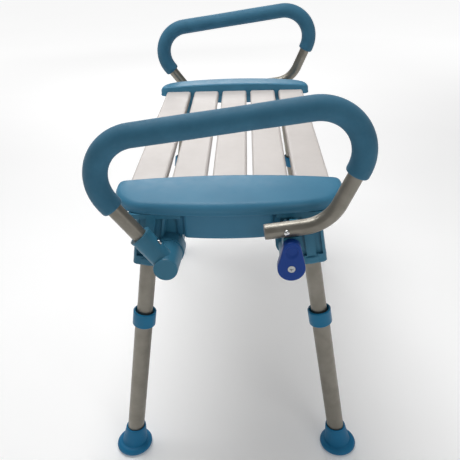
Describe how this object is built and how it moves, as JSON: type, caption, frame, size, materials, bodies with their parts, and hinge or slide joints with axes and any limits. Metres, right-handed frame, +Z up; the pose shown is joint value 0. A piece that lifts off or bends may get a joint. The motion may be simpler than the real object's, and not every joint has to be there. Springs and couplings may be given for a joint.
{
  "type": "bath transfer bench",
  "caption": "Slatted bench with moulded end caps, splayed telescopic legs with flared rubber feet, and a padded flip-up arm at each end for sliding across into a bath.",
  "frame": {"origin": "on the floor, under the middle of the seat", "axes": "+X to the front of the seat, +Y along the seat to the sitter's left, +Z up"},
  "size_m": [0.4348, 0.8, 0.6569],
  "materials": {
    "cap_blue": "semi-matte moulded plastic",
    "slat_white": "satin extruded plastic",
    "fitting_blue": "satin moulded plastic",
    "collar_blue": "satin moulded plastic",
    "foot_rubber": "matte rubber",
    "lever_blue": "semi-gloss moulded plastic",
    "grip_foam": "matte closed-cell foam",
    "plug_grey": "matte",
    "tube_aluminium": "satin anodised",
    "bright_steel": "polished",
    "zinc_steel": "zinc plated"
  },
  "bodies": {
    "root": {"end_cap_right": "cap_blue", "end_cap_left": "cap_blue", "seat_slat_1": "slat_white", "seat_slat_2": "slat_white", "seat_slat_3": "slat_white", "seat_slat_4": "slat_white", "seat_slat_5": "slat_white", "seat_rail_front": "tube_aluminium", "seat_rail_rear": "tube_aluminium", "leg_bracket_front_right": "fitting_blue", "upper_tube_front_right": "tube_aluminium", "leg_bracket_front_left": "fitting_blue", "upper_tube_front_left": "tube_aluminium", "leg_bracket_rear_right": "fitting_blue", "upper_tube_rear_right": "tube_aluminium", "leg_bracket_rear_left": "fitting_blue", "upper_tube_rear_left": "tube_aluminium", "hinge_spindle_right": "zinc_steel", "lever_screw_right": "zinc_steel", "hinge_spindle_left": "zinc_steel", "lever_screw_left": "zinc_steel", "spindle_nuts": "zinc_steel", "bracket_screws": "zinc_steel", "slat_screws": "zinc_steel", "leg_pins": "zinc_steel"},
    "leg_lower_front_right": {"leg_collar_front_right": "collar_blue", "lower_tube_front_right": "tube_aluminium", "foot_front_right": "foot_rubber"},
    "leg_button_front_right": {"snap_button_front_right": "bright_steel"},
    "leg_lower_front_left": {"leg_collar_front_left": "collar_blue", "lower_tube_front_left": "tube_aluminium", "foot_front_left": "foot_rubber"},
    "leg_button_front_left": {"snap_button_front_left": "bright_steel"},
    "leg_lower_rear_right": {"leg_collar_rear_right": "collar_blue", "lower_tube_rear_right": "tube_aluminium", "foot_rear_right": "foot_rubber"},
    "leg_button_rear_right": {"snap_button_rear_right": "bright_steel"},
    "leg_lower_rear_left": {"leg_collar_rear_left": "collar_blue", "lower_tube_rear_left": "tube_aluminium", "foot_rear_left": "foot_rubber"},
    "leg_button_rear_left": {"snap_button_rear_left": "bright_steel"},
    "arm_right": {"arm_tube_right": "tube_aluminium", "arm_grip_right": "grip_foam", "tube_plug_right": "plug_grey", "hinge_fitting_right": "fitting_blue", "hub_cap_right": "fitting_blue", "lock_stud_right": "bright_steel"},
    "arm_button_right": {"arm_button_right": "bright_steel"},
    "lever_right": {"lock_lever_right": "lever_blue"},
    "arm_left": {"arm_tube_left": "tube_aluminium", "arm_grip_left": "grip_foam", "tube_plug_left": "plug_grey", "hinge_fitting_left": "fitting_blue", "hub_cap_left": "fitting_blue", "lock_stud_left": "bright_steel"},
    "arm_button_left": {"arm_button_left": "bright_steel"},
    "lever_left": {"lock_lever_left": "lever_blue"}
  },
  "joints": [
    {"name": "leg_height_front_right", "type": "slide", "parent": "root", "child": "leg_lower_front_right", "axis": [0.1546, -0.0419, -0.9871], "range_m": [-0.075, 0.05], "deforming": ["snap_button_front_right"]},
    {"name": "leg_snap_front_right", "type": "slide", "parent": "root", "child": "leg_button_front_right", "axis": [-0.0065, -0.9991, 0.0414], "range_m": [0, 0.005], "stiffness_N_per_m": 600, "springref_m": -0.002},
    {"name": "leg_height_front_left", "type": "slide", "parent": "root", "child": "leg_lower_front_left", "axis": [0.1546, 0.0419, -0.9871], "range_m": [-0.075, 0.05], "deforming": ["snap_button_front_left"]},
    {"name": "leg_snap_front_left", "type": "slide", "parent": "root", "child": "leg_button_front_left", "axis": [-0.0065, 0.9991, 0.0414], "range_m": [0, 0.005], "stiffness_N_per_m": 600, "springref_m": -0.002},
    {"name": "leg_height_rear_right", "type": "slide", "parent": "root", "child": "leg_lower_rear_right", "axis": [-0.1546, -0.0419, -0.9871], "range_m": [-0.075, 0.05], "deforming": ["snap_button_rear_right"]},
    {"name": "leg_snap_rear_right", "type": "slide", "parent": "root", "child": "leg_button_rear_right", "axis": [0.0065, -0.9991, 0.0414], "range_m": [0, 0.005], "stiffness_N_per_m": 600, "springref_m": -0.002},
    {"name": "leg_height_rear_left", "type": "slide", "parent": "root", "child": "leg_lower_rear_left", "axis": [-0.1546, 0.0419, -0.9871], "range_m": [-0.075, 0.05], "deforming": ["snap_button_rear_left"]},
    {"name": "leg_snap_rear_left", "type": "slide", "parent": "root", "child": "leg_button_rear_left", "axis": [0.0065, 0.9991, 0.0414], "range_m": [0, 0.005], "stiffness_N_per_m": 600, "springref_m": -0.002},
    {"name": "arm_hinge_right", "type": "hinge", "parent": "root", "child": "arm_right", "pos_m": [-0.0885, -0.3795, 0.416], "axis": [0, -1, 0], "range_deg": [0, 100]},
    {"name": "arm_snap_right", "type": "slide", "parent": "arm_right", "child": "arm_button_right", "axis": [-0.8028, 0, -0.5962], "range_m": [0, 0.003], "stiffness_N_per_m": 600, "springref_m": -0.002},
    {"name": "lever_turn_right", "type": "hinge", "parent": "root", "child": "lever_right", "pos_m": [0.0885, -0.392, 0.416], "axis": [0, -1, 0], "range_deg": [0, 90]},
    {"name": "arm_hinge_left", "type": "hinge", "parent": "root", "child": "arm_left", "pos_m": [-0.0885, 0.3795, 0.416], "axis": [0, -1, 0], "range_deg": [0, 100]},
    {"name": "arm_snap_left", "type": "slide", "parent": "arm_left", "child": "arm_button_left", "axis": [-0.8028, 0, -0.5962], "range_m": [0, 0.003], "stiffness_N_per_m": 600, "springref_m": -0.002},
    {"name": "lever_turn_left", "type": "hinge", "parent": "root", "child": "lever_left", "pos_m": [0.0885, 0.392, 0.416], "axis": [0, -1, 0], "range_deg": [0, 90]}
  ]
}
